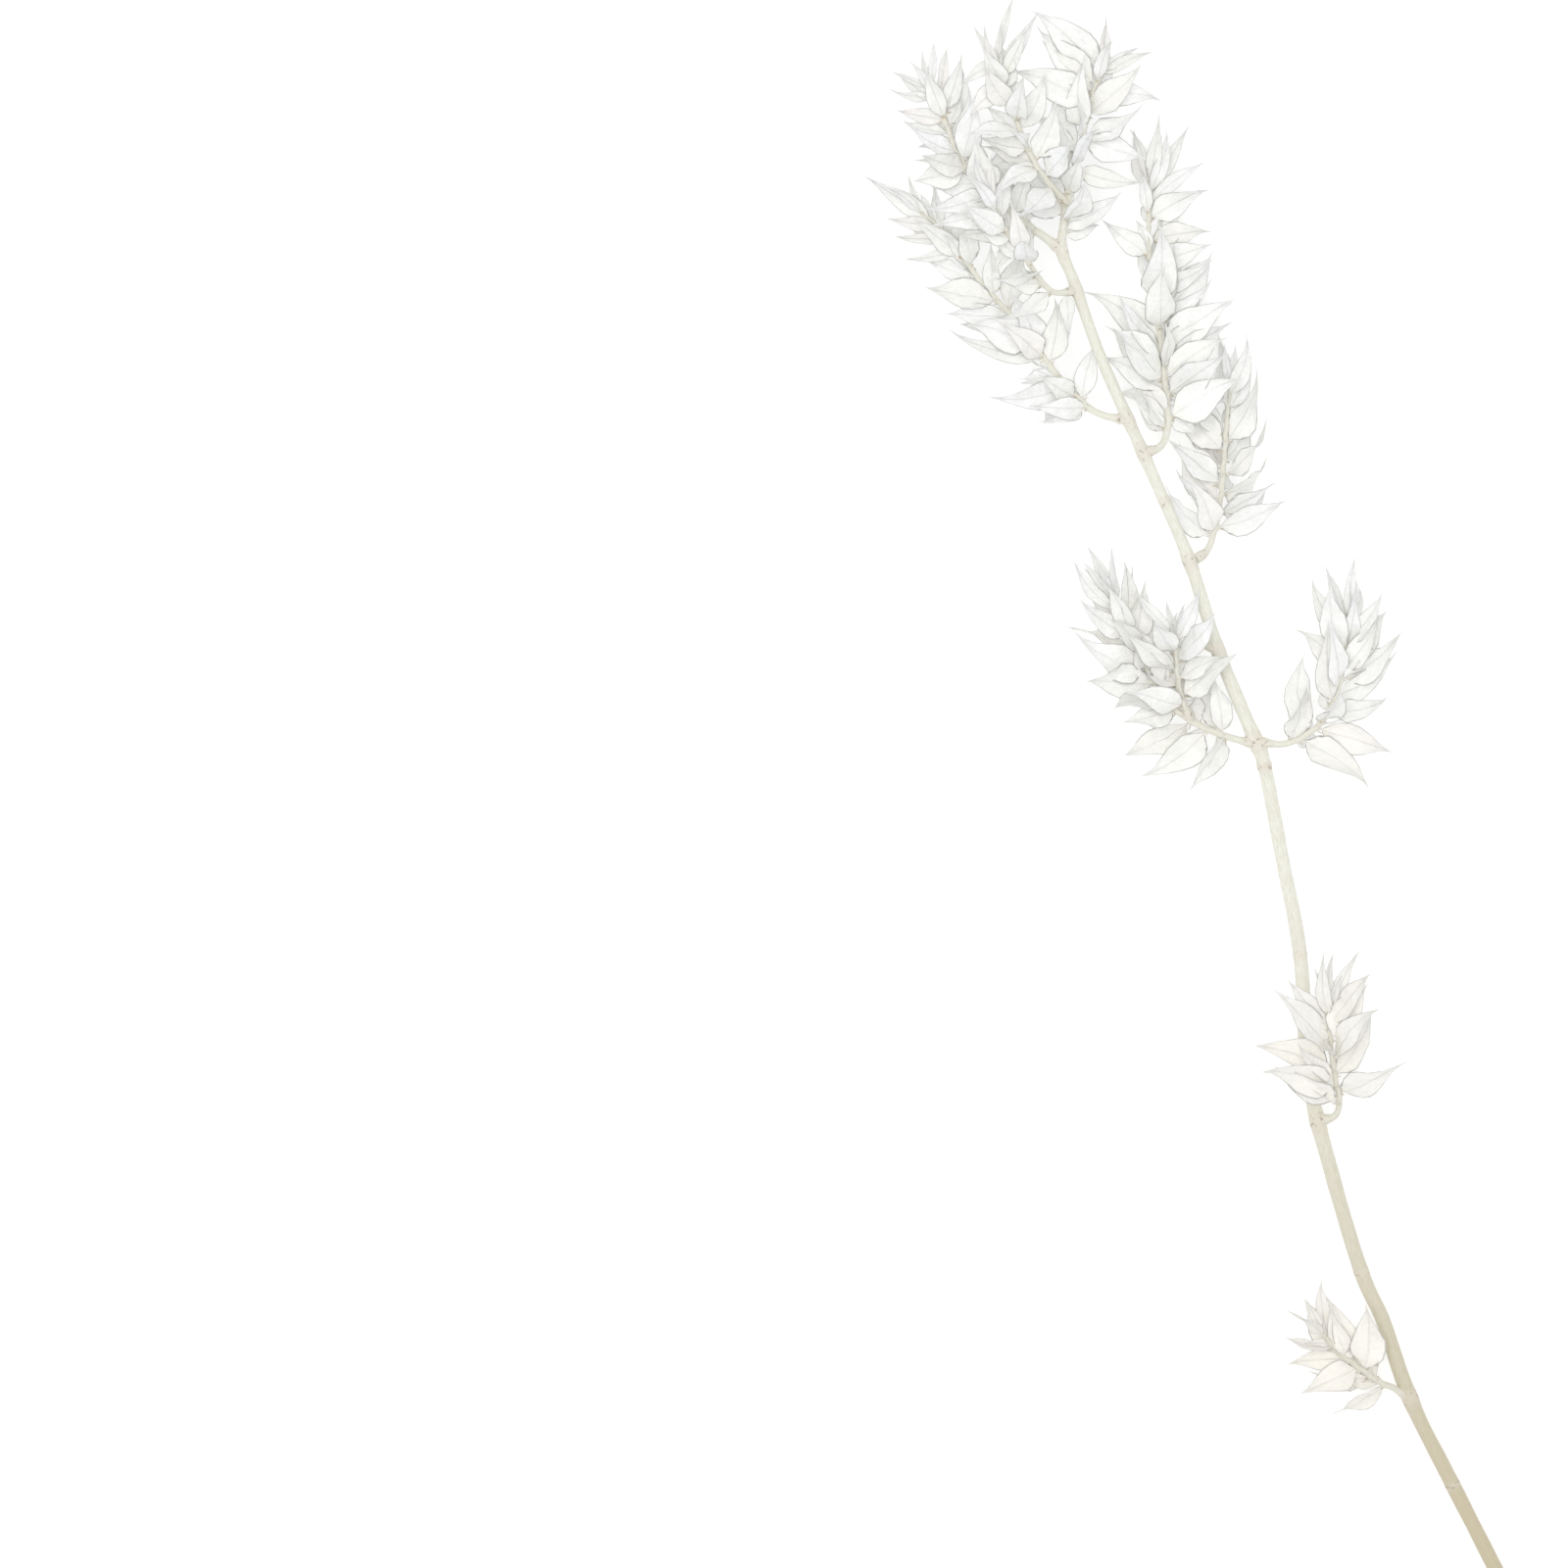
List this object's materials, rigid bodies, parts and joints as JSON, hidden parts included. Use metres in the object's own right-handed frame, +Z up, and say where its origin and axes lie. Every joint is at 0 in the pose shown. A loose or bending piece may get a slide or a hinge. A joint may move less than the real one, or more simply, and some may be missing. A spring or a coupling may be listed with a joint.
{
  "type": "dried ruscus stem",
  "caption": "Cut stem of bleached, dried ruscus lying on a surface: a pale woody axis with leafy side shoots and pointed papery leaves crowded at its crown.",
  "frame": {"origin": "on the surface that the stem lies on, under the middle of its bounding box", "axes": "+Y along the stem from its cut end towards its crown, +X to the right seen from above, +Z up from the surface"},
  "size_m": [0.2796, 0.6702, 0.0956],
  "materials": {
    "stem_wood": "bleached, dry, fine grooves along it",
    "leaf": "bleached leaf, dry and papery, matte with a faint sheen"
  },
  "bodies": {
    "root": {"main_stem": "stem_wood", "crown_spray": "leaf", "left_spray": "leaf", "right_spray": "leaf", "upper_back_spray": "leaf", "lower_left_spray": "leaf", "lower_right_spray": "leaf", "low_right_spray": "leaf", "low_left_spray": "leaf"}
  },
  "joints": []
}
